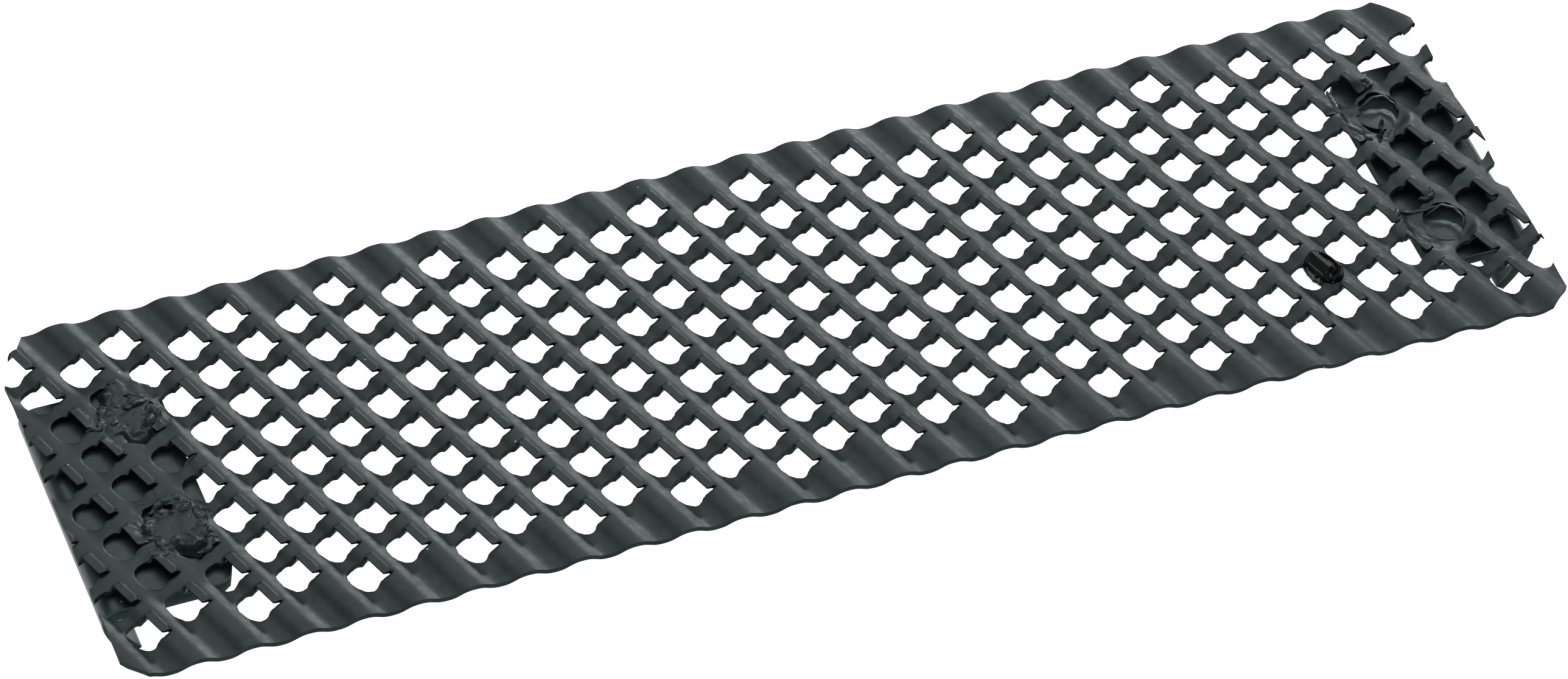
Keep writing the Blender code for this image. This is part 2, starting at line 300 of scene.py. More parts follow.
def end_press(x, y):
    """How far the sheet is squashed flat by welding it to the plates: 0 free, 1 fully flat."""
    left = 0.66 * ease((-56.6 - x) / 1.6) * ease((13.0 - np.abs(y)) / 1.6)
    right = 0.25 * ease((x - 58.0) / 1.6) * ease((13.5 - np.abs(y - 0.8)) / 1.6)
    return left + right


def sheet_top(x, y):
    """Top surface of the unpunched sheet above its middle, at numbers or arrays x and y."""
    offset_x, offset_y = x - LATTICE_ORIGIN[0], y - LATTICE_ORIGIN[1]
    across = offset_x * ACROSS[0] + offset_y * ACROSS[1]
    return wave(across) * (1.0 - end_press(x, y)) + THICKNESS / 2.0


def crumpled(x, y, seed):
    """Faceted height of crushed metal, about -0.5 to 1, with sharp valleys between the facets."""
    total = 0.0
    for scale, share in ((0.55, 0.72), (1.1, 0.28)):
        near = noise.voronoi(Vector((x * scale, y * scale, seed)))[0]
        total += share * (min((near[1] - near[0]) * 2.4, 1.3) - 0.35)
    return total


def sheet_heights(points, tongue, rim, vary):
    """Top surface height and local metal thickness at every plan point."""
    offset = points - LATTICE_ORIGIN
    s_all = offset @ ACROSS
    t_all = offset @ ALONG
    column = np.floor((s_all - 0.205) / COLUMN_STEP[0] + 0.5)
    s = s_all - column * COLUMN_STEP[0]
    t = t_all - column * COLUMN_STEP[1]
    t = t - np.floor(t / TOOTH_STEP[1] + 0.5) * TOOTH_STEP[1]
    row = 2.0 * np.floor((t_all - column * COLUMN_STEP[1]) / TOOTH_STEP[1] + 0.5) - column
    punched = ((row >= FIRST_ROW - 0.5) & (row <= LAST_ROW + 0.5)).astype(float)
    x, y = points[:, 0], points[:, 1]
    base = sheet_top(x, y)
    root = TONGUE_ROOT - 0.20 * ease((t - 0.70) / 0.42) - 0.12 * ease((-t - 0.95) / 0.40)
    shoulder = np.sin(np.clip((root - s) / 0.42, 0.0, 1.0) * math.pi / 2.0)
    rise = ease((t - TONGUE_TOP + 0.36) / 0.38)
    beside = ease((s - TONGUE_EDGE + 0.10) / 0.11) * ease((TONGUE_TOP + 0.05 - t) / 0.03)
    hold = np.maximum(tongue, beside)
    lift = punched * shoulder * rise * hold
    height = (TONGUE_HEIGHT - 0.22 * end_press(x, y)) * (0.94 + 0.12 * vary) + 0.05 * (s - 1.5)
    z = base + lift * (height - base) - rim * 0.05 * punched
    thin = lift * ease((1.95 - s) / (1.95 - TONGUE_EDGE))
    thick = THICKNESS - (THICKNESS - TONGUE_EDGE_THICKNESS) * thin
    closed = ease((TONGUE_TOP + 0.16 - t) / 0.12)
    thick = thick + closed * (lift * (height - base) + THICKNESS - thick)
    return z, thick, lift


def rough_noise(x, y, z):
    """Two octaves of smooth noise, for dents and frayed edges."""
    return noise.fractal(Vector((x, y, z)), 1.0, 2.0, 2)


def build_sheet():
    """The sheet as one closed solid: punched, cropped, and sunk and crushed at the welds."""
    points, faces, tongue, rim, vary = sheet_plan()
    solid = bmesh.new()
    layers = [solid.verts.layers.float.new(name) for name in ("tongue", "rim", "vary")]
    origin = LATTICE_ORIGIN
    verts = [solid.verts.new((origin[0] + p[0] * ACROSS[0] + p[1] * ALONG[0],
                              origin[1] + p[0] * ACROSS[1] + p[1] * ALONG[1], 0.0)) for p in points]
    for i, vert in enumerate(verts):
        vert[layers[0]], vert[layers[1]], vert[layers[2]] = tongue[i], rim[i], vary[i]
    for face in faces.tolist():
        solid.faces.new([verts[i] for i in face])
    crop_to_blank(solid)
    break_tooth(solid, BROKEN_TOOTH, layers[0])
    for k, centre in enumerate(SPOT_CENTRES):
        open_circle(solid, centre, SPOT_RADIUS, 3.0 + k, 0.10)
    for k, centre in enumerate(BLOB_CENTRES):
        open_circle(solid, centre, BLOB_RADIUS, 8.0 + k, 0.12)
    bmesh.ops.delete(solid, geom=[v for v in solid.verts if not v.link_faces], context="VERTS")
    solid.verts.index_update()
    plan = np.array([v.co[:2] for v in solid.verts])
    tongue, rim, vary = (np.array([v[layer] for v in solid.verts]) for layer in layers)
    quads = [[v.index for v in f.verts] for f in solid.faces]
    edges = [(e.link_loops[0].vert.index, e.other_vert(e.link_loops[0].vert).index)
             for e in solid.edges if e.is_boundary]
    solid.free()
    from_broken = np.hypot(plan[:, 0] - BROKEN_TOOTH[0], plan[:, 1] - BROKEN_TOOTH[1])
    whole = ease((from_broken - 1.6) / 0.6)
    z, thick, lift = sheet_heights(plan, tongue * whole, rim, vary)
    z = whole * z + (1.0 - whole) * (sheet_top(plan[:, 0], plan[:, 1]) - 0.03)
    count = len(plan)
    for i in range(count):
        x, y = plan[i]
        fray = rim[i] * 0.055
        if fray > 0.0:
            plan[i, 0] += fray * rough_noise(x * 2.6, y * 2.6, 1.5)
            plan[i, 1] += fray * rough_noise(x * 2.6, y * 2.6, 9.5)
        dents = 0.03 * rough_noise(x * 0.35, y * 0.35, 4.0)
        z[i] += dents + 0.02 * lift[i] * rough_noise(x * 1.3, y * 1.3, 7.0)
    for centre in SPOT_CENTRES:
        dx, dy = plan[:, 0] - centre[0], plan[:, 1] - centre[1]
        reach = np.hypot(dx, dy)
        nearside = ease(0.62 - 0.75 * (0.45 * dx + 0.89 * dy) / np.maximum(reach, 0.1))
        leftward = ease(-dx / 2.5)
        share = 0.25 + 0.75 * np.maximum(nearside, leftward)
        sink = ease((3.3 + 1.0 * leftward - reach) / 1.1) * share
        z = z * (1.0 - sink) + sink * PRESSED
        lift = lift * (1.0 - sink)
    wrecked = np.zeros(count)
    for centre in SPOT_CENTRES:
        reach = np.hypot(plan[:, 0] - centre[0] + 3.0, plan[:, 1] - centre[1] + 0.8)
        wrecked = np.maximum(wrecked, 0.8 * ease((3.6 - reach) / 1.6))
    for centre in BLOB_CENTRES:
        reach = np.hypot(plan[:, 0] - centre[0], plan[:, 1] - centre[1])
        wrecked = np.maximum(wrecked, ease((4.9 - reach) / 1.7))
    for i in np.nonzero(wrecked > 0.01)[0]:
        x, y = plan[i]
        z[i] += wrecked[i] * (0.17 * crumpled(x, y, 2.0) - 0.34 * lift[i])
        plan[i, 0] += wrecked[i] * 0.22 * rough_noise(x * 0.8, y * 0.8, 11.0)
        plan[i, 1] += wrecked[i] * 0.22 * rough_noise(x * 0.8, y * 0.8, 17.0)
    z = np.minimum(z, (sheet_high.z / MM - MID_Z) - 0.02)
    plan[:, 0] = np.clip(plan[:, 0], -HALF_LENGTH, HALF_LENGTH)
    top = np.column_stack((plan, z))
    top[:, 2] += MID_Z - BOW * (top[:, 0] / HALF_LENGTH) ** 2
    below = top.copy()
    below[:, 2] -= thick
    walls = [(b, a, a + count, b + count) for a, b in edges]
    flipped = [[i + count for i in reversed(q)] for q in quads]
    mesh = bpy.data.meshes.new("blade_sheet_toothed")
    mesh.from_pydata((np.concatenate((top, below)) * MM).tolist(), [], quads + flipped + walls)
    cut = mesh.attributes.new("cut_edge", "FLOAT", "FACE")
    on_edge = np.repeat((0.0, 1.0), (2 * len(quads), len(walls)))
    cut.data.foreach_set("value", on_edge.astype(np.float32))
    mesh.shade_smooth()
    mesh.set_sharp_from_angle(angle=math.radians(38.0))
    mesh.update()
    piece = bpy.data.objects.new("blade_sheet_toothed", mesh)
    bpy.context.scene.collection.objects.link(piece)
    return piece


blade = build_sheet()


def linear(colour):
    """An sRGB hex colour as linear RGBA."""
    parts = [int(colour[i:i + 2], 16) / 255.0 for i in (1, 3, 5)]
    return [c / 12.92 if c <= 0.04045 else ((c + 0.055) / 1.055) ** 2.4 for c in parts] + [1.0]


def add(tree, kind, inputs=None, **settings):
    """One shader node with its settings, its fixed input values and its incoming links."""
    node = tree.nodes.new(kind)
    for name, value in settings.items():
        setattr(node, name, value)
    for socket, value in (inputs or {}).items():
        if isinstance(value, bpy.types.NodeSocket):
            tree.links.new(value, node.inputs[socket])
        else:
            node.inputs[socket].default_value = value
    return node


def slate_enamel(name, dark, light, roughness):
    """Thin dip-coated enamel: cloudy colour, uneven sheen, orange peel, scratches and stray dust."""
    material = bpy.data.materials.new(name)
    material.use_nodes = True
    tree = material.node_tree
    shader = tree.nodes["Principled BSDF"]
    place = add(tree, "ShaderNodeTexCoord").outputs["Object"]
    # Clouds of thicker and thinner paint, about 3 mm across.
    cloud = add(tree, "ShaderNodeTexNoise", {"Vector": place, "Scale": 330.0, "Detail": 4.0,
                                             "Roughness": 0.6})
    tone = add(tree, "ShaderNodeValToRGB", {"Fac": cloud.outputs["Fac"]})
    tone.color_ramp.elements[0].position = 0.30
    tone.color_ramp.elements[0].color = linear(dark)
    tone.color_ramp.elements[1].position = 0.72
    tone.color_ramp.elements[1].color = linear(light)
    # Dust caught in the wet paint: grains up to 0.2 mm, at most one in about 4 mm.
    dust = add(tree, "ShaderNodeTexVoronoi", {"Vector": place, "Scale": 520.0})
    grain = add(tree, "ShaderNodeMath", {0: dust.outputs["Distance"], 1: 0.052},
                operation="LESS_THAN")
    chance = add(tree, "ShaderNodeSeparateColor", {"Color": dust.outputs["Color"]})
    rare = add(tree, "ShaderNodeMath", {0: chance.outputs["Red"], 1: 0.80},
               operation="GREATER_THAN")
    speck = add(tree, "ShaderNodeMath", {0: grain.outputs[0], 1: rare.outputs[0]},
                operation="MULTIPLY")
    colour = add(tree, "ShaderNodeMix", {"Factor": speck.outputs[0], "A": tone.outputs["Color"],
                                         "B": linear("#b9bfbd")}, data_type="RGBA")
    # Long fine scratches lying across the ridges, about 0.1 mm wide.
    turned = add(tree, "ShaderNodeMapping", {"Vector": place, "Rotation": (0.0, 0.0, 0.9),
                                             "Scale": (60.0, 1500.0, 300.0)})
    scratch = add(tree, "ShaderNodeTexNoise", {"Vector": turned.outputs[0], "Scale": 1.0,
                                               "Detail": 3.0, "Roughness": 0.7})
    scored = add(tree, "ShaderNodeMapRange", {"Value": scratch.outputs["Fac"], "From Min": 0.64,
                                              "From Max": 0.74, "To Min": 0.0, "To Max": 1.0})
    # Sheen wanders over about 1 mm with the paint film; cut edges hold a thin matt coat.
    film = add(tree, "ShaderNodeTexNoise", {"Vector": place, "Scale": 900.0, "Detail": 5.0,
                                            "Roughness": 0.65})
    sheen = add(tree, "ShaderNodeMapRange", {"Value": film.outputs["Fac"],
                                             "From Min": 0.3, "From Max": 0.7,
                                             "To Min": roughness - 0.05,
                                             "To Max": roughness + 0.06})
    duller = add(tree, "ShaderNodeMath", {0: scored.outputs[0], 1: -0.08, 2: sheen.outputs[0]},
                 operation="MULTIPLY_ADD")
    cut = add(tree, "ShaderNodeAttribute", attribute_name="cut_edge")
    matt = add(tree, "ShaderNodeMath", {0: cut.outputs["Fac"], 1: 0.30, 2: duller.outputs[0]},
               operation="MULTIPLY_ADD")
    gloss = add(tree, "ShaderNodeMath", {0: cut.outputs["Fac"], 1: -0.33, 2: 0.5},
                operation="MULTIPLY_ADD")
    # Orange peel about 0.4 mm across, over the slow waviness of the thicker and thinner paint.
    peel = add(tree, "ShaderNodeTexNoise", {"Vector": place, "Scale": 2300.0, "Detail": 2.0,
                                            "Roughness": 0.5})
    height = add(tree, "ShaderNodeMath", {0: cloud.outputs["Fac"], 1: 1.2, 2: peel.outputs["Fac"]},
                 operation="MULTIPLY_ADD")
    groove = add(tree, "ShaderNodeMath", {0: scored.outputs[0], 1: -0.35, 2: height.outputs[0]},
                 operation="MULTIPLY_ADD")
    bump = add(tree, "ShaderNodeBump", {"Strength": 0.42, "Distance": 0.00003,
                                        "Height": groove.outputs[0]})
    tree.links.new(colour.outputs["Result"], shader.inputs["Base Color"])
    tree.links.new(matt.outputs[0], shader.inputs["Roughness"])
    tree.links.new(gloss.outputs[0], shader.inputs["Specular IOR Level"])
    tree.links.new(bump.outputs["Normal"], shader.inputs["Normal"])
    shader.inputs["Specular Tint"].default_value = linear("#ebf8fb")
    return material


blade.data.materials.append(slate_enamel("slate_enamel", "#13211f", "#273430", 0.50))
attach(blade, "root")
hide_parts("blade_sheet")

# ---------------------------------------------------------------------------
# Hook plates: steel strip bent under at each end into the hooks that clip into
# the plane body, enamelled with the sheet. Their enamel is drawn lighter than the
# sheet's, as painted light for the light that reaches them through the openings.
# They are drawn thicker than the plain solids, by a guess, with the flat
# undersides in the same place.
# ---------------------------------------------------------------------------
PLATE_CORNER = 2.0
INNER_BEND = 0.15
PLAIN_GAUGE = 1.0
LEFT_GAUGE = 1.45
RIGHT_GAUGE = 1.25
LEFT_REACH_IN = 0.5
PLATE_EDGE_MATT = 1.4


def hook_line(outer, inner, top, tip, gauge):
    """Centre line of the strip in x and z: flat, round the bend, then down to the hook tip."""
    side = 1.0 if outer > inner else -1.0
    z = top - gauge / 2.0
    bend = outer - side * (gauge + INNER_BEND)
    reach = gauge / 2.0 + INNER_BEND
    points = [(inner + (bend - inner) * k / 18.0, z) for k in range(19)]
    turn = math.radians(102.0)
    for k in range(1, 11):
        angle = turn * k / 10.0
        points.append((bend + side * reach * math.sin(angle), z - reach * (1.0 - math.cos(angle))))
    start_x, start_z = points[-1]
    for k in range(1, 21):
        share = k / 20.0
        points.append((start_x + (tip - start_x) * (0.30 * share + 0.70 * share * share),
                       start_z * (1.0 - share) + 0.42 * share))
    return points


def hook_plate(name, node, outer, top, tip, gauge, trim):
    """One plate and hook, with softened edges and a little waviness from rolling."""
    low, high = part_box(node)
    inner = low.x / MM if outer > 0.0 else high.x / MM + LEFT_REACH_IN
    side = 1.0 if outer > inner else -1.0
    middle = (low.y + high.y) / 2.0 / MM + trim / 2.0
    half = (high.y - low.y) / 2.0 / MM - trim / 2.0
    line = np.array(hook_line(outer, inner, top, tip, gauge))
    run = np.gradient(line, axis=0)
    run /= np.linalg.norm(run, axis=1)[:, None]
    normal = np.stack((-run[:, 1] * side, run[:, 0] * side), 1)
    across = np.sin(np.linspace(-1.0, 1.0, 29) * math.pi / 2.0)
    corner = np.clip(PLATE_CORNER - np.abs(line[:, 0] - inner), 0.0, PLATE_CORNER)
    corner[19:] = 0.0
    width = half - PLATE_CORNER + np.sqrt(PLATE_CORNER ** 2 - corner ** 2)
    verts, faces = [], []
    for sign in (0.5, -0.5):
        for i in range(len(line)):
            for k, share in enumerate(across):
                y = middle + share * width[i]
                sag = 0.02 * rough_noise(line[i, 0] * 0.4, y * 0.25, i * 0.08)
                soft = 0.10 if k in (0, len(across) - 1) or i in (0, len(line) - 1) else 0.0
                depth = sign * gauge - math.copysign(soft, sign) + sag
                x, z = line[i] + normal[i] * depth
                verts.append((x, y, z))
    rows, columns = len(line), len(across)
    index = np.arange(2 * rows * columns).reshape(2, rows, columns)
    for i in range(rows - 1):
        for k in range(columns - 1):
            for layer, order in ((0, 1), (1, -1)):
                ring = [index[layer, i, k], index[layer, i + 1, k], index[layer, i + 1, k + 1],
                        index[layer, i, k + 1]]
                faces.append(ring[::int(order * side)])
    rim = [(i, 0) for i in range(rows)] + [(rows - 1, k) for k in range(1, columns)]
    rim += [(i, columns - 1) for i in range(rows - 2, -1, -1)]
    rim += [(0, k) for k in range(columns - 2, 0, -1)]
    for first, second in zip(rim, rim[1:] + rim[:1]):
        ring = [index[0][first], index[1][first], index[1][second], index[0][second]]
        faces.append(ring[::int(side)])
    mesh = bpy.data.meshes.new(name)
    faces = [[int(v) for v in ring] for ring in faces]
    mesh.from_pydata((np.array(verts) * MM).tolist(), [], faces)
    mesh.shade_smooth()
    mesh.set_sharp_from_angle(angle=math.radians(50.0))
    edge = mesh.attributes.new("cut_edge", "FLOAT", "FACE")
    for face in range(len(faces) - len(rim), len(faces)):
        edge.data[face].value = PLATE_EDGE_MATT
    piece = bpy.data.objects.new(name, mesh)
    bpy.context.scene.collection.objects.link(piece)
    # A lighter copy of the sheet's slate enamel: painted light standing in for the light that falls on
    # the plates through the openings.
    piece.data.materials.append(slate_enamel(name + "_enamel", "#1c2a29", "#364240", 0.36))
    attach(piece, "root")
    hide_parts(node)
    return piece


left_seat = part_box("left_hook_plate")[1].z / MM - PLAIN_GAUGE
right_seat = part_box("right_hook_plate")[1].z / MM - PLAIN_GAUGE
hook_plate("left_hook", "left_hook_plate",
           -69.7, left_seat + LEFT_GAUGE, -66.5, LEFT_GAUGE, 0.45)
hook_plate("right_hook", "right_hook_plate",
           69.95, right_seat + RIGHT_GAUGE, 67.2, RIGHT_GAUGE, 0.3)

# ---------------------------------------------------------------------------
# Left-hand welds: two smeared beads where the sheet was welded down to the
# left hook plate, torn and folded at the rim and enamelled over.
# ---------------------------------------------------------------------------


def height_patch(name, centre, outline, top, under, rings, segments):
    """A closed lump over an outline: top(x, y, r) and under(x, y, r) are its faces, r runs 0 to 1."""
    verts, faces = [], []
    for face in (top, under):
        verts.append((centre[0], centre[1], face(centre[0], centre[1], 0.0)))
        for ring in range(1, rings + 1):
            share = (ring / rings) ** 0.75
            for k in range(segments):
                angle = 2.0 * math.pi * k / segments
                reach = outline(angle) * share
                x = centre[0] + reach * math.cos(angle)
                y = centre[1] + reach * math.sin(angle)
                verts.append((x, y, face(x, y, share)))
    half = 1 + rings * segments
    for k in range(segments):
        n = (k + 1) % segments
        faces.append((0, 1 + k, 1 + n))
        faces.append((half, half + 1 + n, half + 1 + k))
        for ring in range(rings - 1):
            a, b = 1 + ring * segments, 1 + (ring + 1) * segments
            faces.append((a + k, b + k, b + n, a + n))
            faces.append((half + a + n, half + b + n, half + b + k, half + a + k))
        edge = 1 + (rings - 1) * segments
        faces.append((edge + n, edge + k, half + edge + k, half + edge + n))
    mesh = bpy.data.meshes.new(name)
    mesh.from_pydata([(x * MM, y * MM, z * MM) for x, y, z in verts], [], faces)
    mesh.shade_smooth()
    mesh.set_sharp_from_angle(angle=math.radians(50.0))
    piece = bpy.data.objects.new(name, mesh)
    bpy.context.scene.collection.objects.link(piece)
    return piece


def sheet_level(x):
    """Height of the middle of the sheet at x, with its bow."""
    return MID_Z - BOW * (x / HALF_LENGTH) ** 2


def smeared_bead(name, node, centre, radius, drawn, seed):
    """One smeared weld bead, drawn out to one side, with crushed folds round a smoother middle."""
    def outline(angle):
        return ragged_radius(angle, radius, seed, 0.42) * (1.0 + 0.20 * math.cos(angle - drawn))

    def top(x, y, r):
        smear = noise.fractal(Vector((x * 0.45, y * 0.45, seed)), 1.0, 2.1, 3)
        torn = 0.22 + 0.78 * float(ease((r - 0.34 - 0.3 * smear) / 0.30))
        rise = 0.04 + 0.22 * (1.0 - r * r) + 0.12 * smear + 0.34 * torn * crumpled(x, y, seed)
        rim = 0.55 * float(ease((r - 0.76) / 0.24))
        return sheet_level(x) + float(sheet_top(x, y)) + rise - rim

    def under(x, y, r):
        return sheet_level(x) + float(sheet_top(x, y)) - 0.85

    piece = height_patch(name, centre, outline, top, under, 44, 150)
    piece.data.materials.append(slate_enamel(name + "_enamel", "#182625", "#2c3837", 0.47))
    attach(piece, "root")
    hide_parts(node)
    return piece


smeared_bead("left_upper_bead", "left_weld_upper",
             (-60.5, 8.2), 3.15, math.radians(170.0), 21.0)
smeared_bead("left_lower_bead", "left_weld_lower",
             (-61.0, -4.9), 3.15, math.radians(-40.0), 34.0)

# ---------------------------------------------------------------------------
# Right-hand spot welds: smooth pressed buttons of the sheet's own metal, flush
# with it on the near side and sunk behind a torn lip on the far side.
# ---------------------------------------------------------------------------

BUTTON_RADIUS = 2.45


def pressed_button(name, node, centre, seed):
    """One spot-weld button, tilted so that its near edge meets the sheet."""
    def outline(angle):
        return ragged_radius(angle, BUTTON_RADIUS, seed, 0.04)

    def top(x, y, r):
        along = ((x - centre[0]) * 0.45 + (y - centre[1]) * 0.89) / 2.0
        dome = 0.15 * (1.0 - r * r)
        wrinkle = 0.02 * noise.fractal(Vector((x * 0.8, y * 0.8, seed)), 1.0, 2.0, 3)
        return sheet_level(x) - 0.34 - 0.28 * along + dome + wrinkle

    def under(x, y, r):
        return sheet_level(x) - 1.05

    piece = height_patch(name, centre, outline, top, under, 16, 80)
    piece.data.materials.append(slate_enamel(name + "_enamel", "#1a2827", "#2c3836", 0.34))
    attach(piece, "root")
    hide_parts(node)
    return piece


pressed_button("right_upper_button", "right_weld_upper",
               SPOT_CENTRES[0], 41.0)
pressed_button("right_lower_button", "right_weld_lower",
               SPOT_CENTRES[1], 47.0)

# ---------------------------------------------------------------------------
# Torn lips: slivers of the sheet squeezed up and folded over beside the welds,
# thin, wavy and thickly enamelled, so that they glint along their edges.
# ---------------------------------------------------------------------------

LIP_ROOT = 0.16
LIP_SECTIONS = 14


def torn_lip(points, height, gauge, lean, seed):
    """Vertices and faces of one folded sliver that follows a line of points on the sheet."""
    points = np.array(points, float)
    count = max(8, int(np.linalg.norm(np.diff(points, axis=0), axis=1).sum() / 0.09))
    line = spaced(points, count)
    for _ in range(3):
        line[1:-1] = 0.5 * line[1:-1] + 0.25 * (line[:-2] + line[2:])
    run = np.gradient(line, axis=0)
    run /= np.linalg.norm(run, axis=1)[:, None]
    sections = LIP_SECTIONS
    verts, faces = [], []
    for i in range(count + 1):
        x, y = line[i]
        taper = math.sin(math.pi * min(max((i + 0.6) / (count + 1.2), 0.0), 1.0)) ** 0.45
        wobble = noise.fractal(Vector((x * 1.1, y * 1.1, seed)), 1.0, 2.2, 4)
        tall = height * taper * (0.75 + 0.7 * noise.noise(Vector((x * 1.7, y * 1.7, seed + 3.0))))
        tall = max(tall, 0.06)
        tilt = lean + 0.8 * wobble
        base = sheet_level(x) + float(sheet_top(x, y)) - LIP_ROOT
        side = np.array((-run[i, 1], run[i, 0]))
        for k in range(sections):
            angle = 2.0 * math.pi * k / sections
            up = 0.5 * (1.0 + math.sin(angle)) * (tall + LIP_ROOT)
            bend = tilt * max(up - LIP_ROOT, 0.0) ** 1.3 / max(tall, 0.1) ** 0.3
            out = 0.5 * gauge * taper * math.cos(angle) + bend
            place = line[i] + side * (out + 0.10 * wobble)
            verts.append((place[0], place[1], base + up))
    for i in range(count):
        for k in range(sections):
            n = (k + 1) % sections
            a, b = i * sections, (i + 1) * sections
            faces.append((a + k, a + n, b + n, b + k))
    faces.append(tuple(range(sections))[::-1])
    faces.append(tuple(count * sections + k for k in range(sections)))
    return verts, faces


def torn_lips(name, lips):
    """Several torn lips as one piece; each lip is its line, height, thickness and lean."""
    verts, faces = [], []
    for seed, (points, height, gauge, lean) in enumerate(lips):
        more_verts, more_faces = torn_lip(points, height, gauge, lean, 50.0 + 7.0 * seed)
        faces += [tuple(v + len(verts) for v in face) for face in more_faces]
        verts += more_verts
    mesh = bpy.data.meshes.new(name)
    mesh.from_pydata([(x * MM, y * MM, min(z * MM, sheet_high.z)) for x, y, z in verts], [], faces)
    mesh.shade_smooth()
    piece = bpy.data.objects.new(name, mesh)
    bpy.context.scene.collection.objects.link(piece)
    piece.data.materials.append(slate_enamel(name + "_enamel", "#192625", "#303c3b", 0.40))
    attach(piece, "root")
    return piece


torn_lips("right_torn_lips", [
    ([(60.9, 3.9), (61.3, 4.9), (61.9, 5.9)], 0.75, 0.45, 0.1),
    ([(60.9, 3.8), (61.6, 3.5), (62.4, 4.6)], 0.16, 0.80, 0.2),
    ([(58.5, 11.0), (58.3, 9.7), (58.1, 8.2), (58.3, 7.4)], 0.22, 0.75, 0.5),
    ([(61.5, 11.0), (62.5, 11.0), (62.6, 10.3), (62.0, 9.8)], 0.34, 0.60, 0.1),
    ([(58.0, 6.2), (58.5, 5.8), (59.0, 5.0), (59.5, 4.3), (59.9, 3.8)], 0.26, 0.62, -0.6),
    ([(58.4, -5.1), (59.6, -5.3), (61.1, -5.5), (62.3, -5.6)], 0.10, 0.45, 0.2),
    ([(58.6, -4.5), (58.2, -5.4), (57.5, -6.1)], 0.26, 0.60, -0.4),
    ([(60.9, -4.2), (61.6, -4.6), (62.3, -4.2), (62.4, -3.3)], 0.36, 0.60, 0.1),
    ([(60.3, 7.9), (61.2, 8.3), (62.1, 8.7), (63.2, 8.5), (63.8, 7.4), (63.7, 6.4)],
     0.16, 0.36, -0.5),
    ([(60.6, -6.2), (61.4, -5.9), (62.6, -5.6), (63.5, -6.3), (63.9, -7.6), (63.4, -8.8)],
     0.16, 0.36, -0.5),
])
torn_lips("left_torn_lips", [
    ([(-64.9, 7.4), (-64.2, 7.6), (-63.7, 7.3), (-63.0, 7.9), (-63.4, 8.7)], 0.34, 0.70, 0.4),
    ([(-62.8, 8.3), (-62.1, 8.7), (-61.9, 8.1), (-62.4, 7.2), (-61.9, 6.7)], 0.46, 0.65, -0.4),
    ([(-61.6, 9.6), (-60.7, 9.1), (-59.7, 9.1), (-58.7, 9.3), (-58.4, 8.9)], 0.52, 0.80, -0.6),
    ([(-61.7, 7.5), (-60.7, 7.3), (-59.5, 7.7), (-58.5, 8.0), (-58.2, 6.9), (-58.5, 5.8)],
     0.42, 0.75, 0.6),
    ([(-58.8, 8.5), (-58.6, 7.6), (-58.1, 6.6)], 0.30, 0.55, 0.4),
    ([(-58.6, 3.9), (-57.5, 3.9), (-56.8, 2.8), (-56.9, 1.7), (-58.0, 1.0)], 0.22, 0.60, 0.3),
    ([(-62.6, -3.1), (-61.0, -2.3), (-59.8, -2.3), (-58.9, -3.0)], 0.34, 0.70, 0.5),
    ([(-58.7, -3.0), (-58.5, -4.1), (-58.5, -5.5), (-58.2, -6.4), (-57.8, -7.6)], 0.48, 0.80, 0.4),
    ([(-59.8, -6.7), (-58.8, -6.5), (-58.1, -7.5), (-58.9, -8.6), (-59.9, -8.6)], 0.42, 0.75, -0.4),
    ([(-63.9, -5.7), (-62.7, -6.0), (-61.4, -5.9), (-60.4, -6.8)], 0.26, 0.75, 0.4),
    ([(-64.5, -8.2), (-63.7, -7.6), (-62.9, -8.0), (-62.2, -7.8)], 0.26, 0.60, 0.4),
])

# ---------------------------------------------------------------------------
# Paint run: a bead of enamel that pooled round one tooth after dipping and
# dried glossy black, with the top of the tooth standing out of it.
# ---------------------------------------------------------------------------
RUN_COLUMN = 9
RUN_STEP = 6
RUN_SHIFT = RUN_COLUMN * COLUMN_STEP + RUN_STEP * TOOTH_STEP
RUN_CELL = LATTICE_ORIGIN + RUN_SHIFT[0] * ACROSS + RUN_SHIFT[1] * ALONG
RUN_CENTRE = RUN_CELL + 1.30 * ACROSS + 0.20 * ALONG


def run_outline(angle):
    """Distance from the middle of the run to its edge: wider towards the tooth, frayed over the hole."""
    direction = np.array((math.cos(angle), math.sin(angle)))
    across, along = direction @ ACROSS, direction @ ALONG
    reach = 1.0 / math.hypot(across / (1.62 if across > 0.0 else 1.20), along / 2.25)
    rough = 0.07 if across < 0.2 else 0.04
    place = Vector((direction[0] * 3.5, direction[1] * 3.5, 6.0))
    return reach * (1.0 + rough * noise.fractal(place, 1.0, 2.0, 3))


def run_top(x, y, r):
    """Top of the run: a swollen rim, a drop and a bead, with the tooth standing out of them."""
    offset = np.array((x, y)) - RUN_CELL
    s, t = offset @ ACROSS, offset @ ALONG
    base = float(wave(s)) + THICKNESS / 2.0
    over_s = ease((s - 0.30) / 0.25) * ease((2.0 - s) / 0.35)
    tooth = float(over_s * ease((t + 1.75) / 0.3) * ease((1.25 - t) / 0.3))
    facet = 1.42 - 0.72 * float(ease((1.45 - s) / 1.0))
    rim = math.exp(-((r - 0.80) / 0.12) ** 2) * (1.0 if s > 0.7 else 0.3)
    drop = math.exp(-((s - 1.75) / 0.50) ** 2 - ((t - 1.75) / 0.45) ** 2)
    bead = math.exp(-((s - 0.75) / 0.28) ** 2 - ((t - 1.05) / 0.30) ** 2)
    ripple = 0.09 * noise.fractal(Vector((x * 1.5, y * 1.5, 3.0)), 1.0, 2.0, 3)
    level = base + 0.08 + 0.46 * rim + 0.95 * drop + 0.60 * bead + ripple
    level += tooth * (max(facet, level) - level) - 0.42 * float(ease((r - 0.84) / 0.16))
    return sheet_level(x) + level


